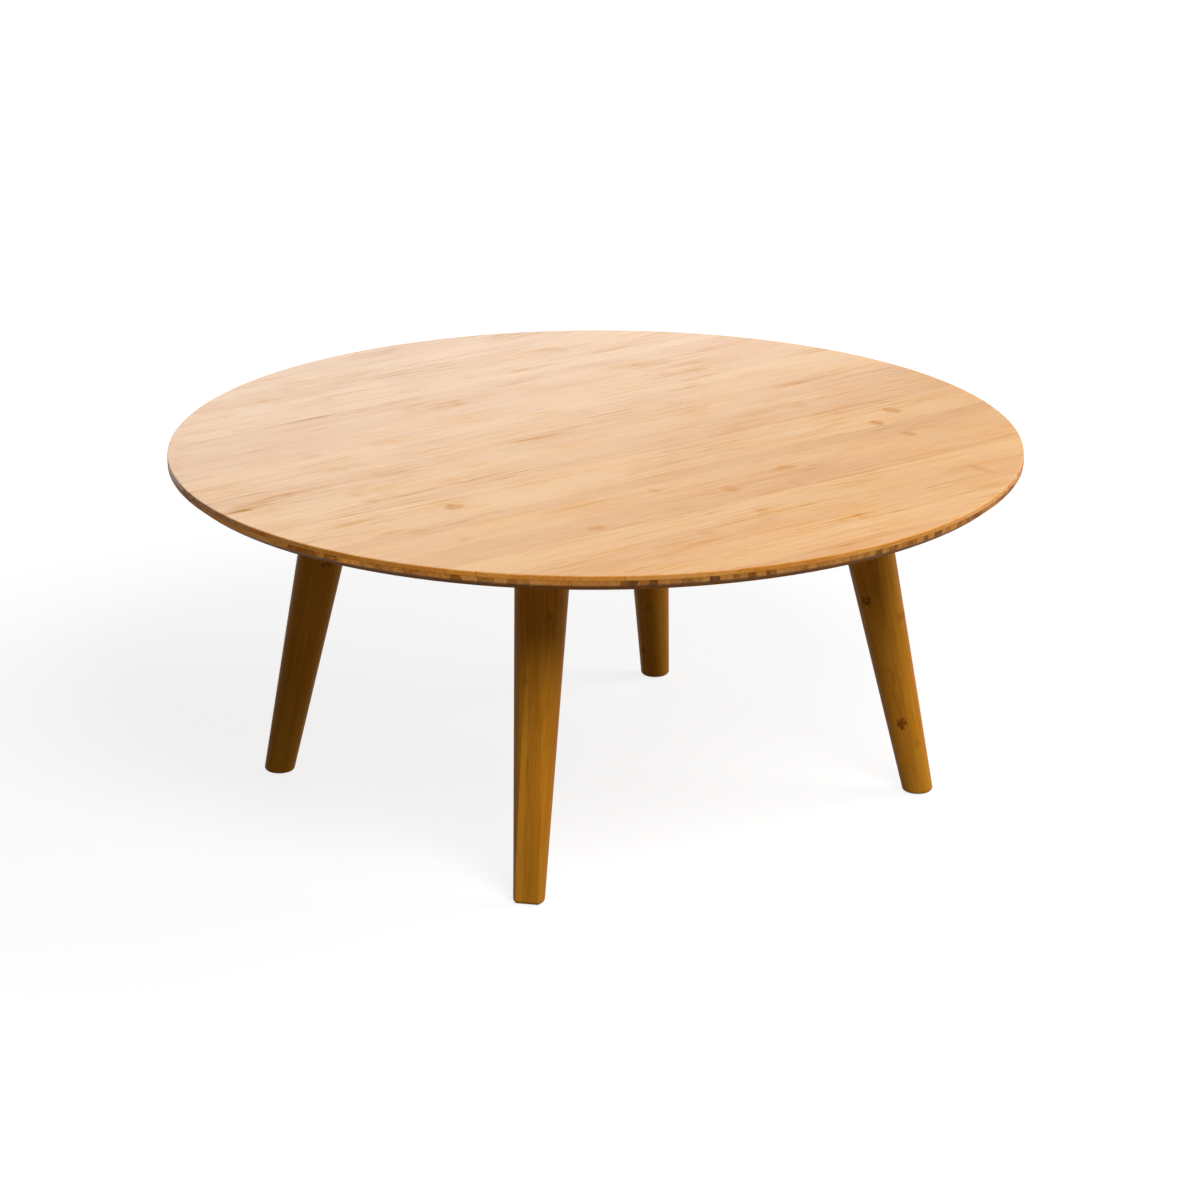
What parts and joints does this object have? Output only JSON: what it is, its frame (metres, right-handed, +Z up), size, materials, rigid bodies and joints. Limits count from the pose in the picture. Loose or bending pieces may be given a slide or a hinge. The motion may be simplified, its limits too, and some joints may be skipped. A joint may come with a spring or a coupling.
{
  "type": "chabudai folding low table",
  "caption": "Round low table of laminated bamboo with an undercut rim, on splayed tapering legs that fold flat under the top like a pinwheel and lock with leaf springs.",
  "frame": {"origin": "on the floor under the centre of the round top", "axes": "+Z up, +X along the grain of the face ply and the longer side of the leg rectangle, -Y to the front; legs stand open"},
  "size_m": [0.7999, 0.8, 0.34],
  "materials": {
    "face_bamboo": "clear satin lacquer, strips along +X",
    "core_bamboo": "clear satin lacquer, strips along +Y",
    "leg_bamboo": "clear satin lacquer, carbonised honey brown",
    "zinc_steel": "zinc plated pressed steel",
    "bolt_steel": "zinc plated, machined",
    "spring_steel": "oiled spring steel",
    "nylon": "natural nylon",
    "felt": "brown wool felt"
  },
  "bodies": {
    "top": {"top_face_ply": "face_bamboo", "top_core_ply": "core_bamboo", "top_back_ply": "face_bamboo", "mounting_plate_back_right": "zinc_steel", "hinge_yoke_back_right": "zinc_steel", "pivot_bolt_back_right": "bolt_steel", "pivot_nut_back_right": "bolt_steel", "pivot_washers_back_right": "nylon", "spring_rivet_back_right": "bolt_steel", "plate_screws_back_right": "bolt_steel", "mounting_plate_back_left": "zinc_steel", "hinge_yoke_back_left": "zinc_steel", "pivot_bolt_back_left": "bolt_steel", "pivot_nut_back_left": "bolt_steel", "pivot_washers_back_left": "nylon", "spring_rivet_back_left": "bolt_steel", "plate_screws_back_left": "bolt_steel", "mounting_plate_front_left": "zinc_steel", "hinge_yoke_front_left": "zinc_steel", "pivot_bolt_front_left": "bolt_steel", "pivot_nut_front_left": "bolt_steel", "pivot_washers_front_left": "nylon", "spring_rivet_front_left": "bolt_steel", "plate_screws_front_left": "bolt_steel", "mounting_plate_front_right": "zinc_steel", "hinge_yoke_front_right": "zinc_steel", "pivot_bolt_front_right": "bolt_steel", "pivot_nut_front_right": "bolt_steel", "pivot_washers_front_right": "nylon", "spring_rivet_front_right": "bolt_steel", "plate_screws_front_right": "bolt_steel"},
    "leg_back_right": {"leg_back_right": "leg_bamboo", "foot_pad_back_right": "felt"},
    "latch_back_right": {"latch_spring_back_right": "spring_steel"},
    "leg_back_left": {"leg_back_left": "leg_bamboo", "foot_pad_back_left": "felt"},
    "latch_back_left": {"latch_spring_back_left": "spring_steel"},
    "leg_front_left": {"leg_front_left": "leg_bamboo", "foot_pad_front_left": "felt"},
    "latch_front_left": {"latch_spring_front_left": "spring_steel"},
    "leg_front_right": {"leg_front_right": "leg_bamboo", "foot_pad_front_right": "felt"},
    "latch_front_right": {"latch_spring_front_right": "spring_steel"}
  },
  "joints": [
    {"name": "fold_back_right", "type": "hinge", "parent": "top", "child": "leg_back_right", "pos_m": [0.17164, 0.16565, 0.302], "axis": [0, 1, 0], "range_deg": [0, 99], "deforming": ["latch_spring_back_right"]},
    {"name": "latch_back_right_release", "type": "slide", "parent": "top", "child": "latch_back_right", "axis": [0, -1, 0], "range_m": [0, 0.003], "stiffness_N_per_m": 500, "deforming": ["latch_spring_back_right"]},
    {"name": "fold_back_left", "type": "hinge", "parent": "top", "child": "leg_back_left", "pos_m": [-0.18165, 0.15565, 0.302], "axis": [-1, 0, 0], "range_deg": [0, 97.8], "deforming": ["latch_spring_back_left"]},
    {"name": "latch_back_left_release", "type": "slide", "parent": "top", "child": "latch_back_left", "axis": [1, 0, 0], "range_m": [0, 0.003], "stiffness_N_per_m": 500, "deforming": ["latch_spring_back_left"]},
    {"name": "fold_front_left", "type": "hinge", "parent": "top", "child": "leg_front_left", "pos_m": [-0.17164, -0.16565, 0.302], "axis": [0, -1, 0], "range_deg": [0, 99], "deforming": ["latch_spring_front_left"]},
    {"name": "latch_front_left_release", "type": "slide", "parent": "top", "child": "latch_front_left", "axis": [0, 1, 0], "range_m": [0, 0.003], "stiffness_N_per_m": 500, "deforming": ["latch_spring_front_left"]},
    {"name": "fold_front_right", "type": "hinge", "parent": "top", "child": "leg_front_right", "pos_m": [0.18165, -0.15565, 0.302], "axis": [1, 0, 0], "range_deg": [0, 97.8], "deforming": ["latch_spring_front_right"]},
    {"name": "latch_front_right_release", "type": "slide", "parent": "top", "child": "latch_front_right", "axis": [-1, 0, 0], "range_m": [0, 0.003], "stiffness_N_per_m": 500, "deforming": ["latch_spring_front_right"]}
  ]
}
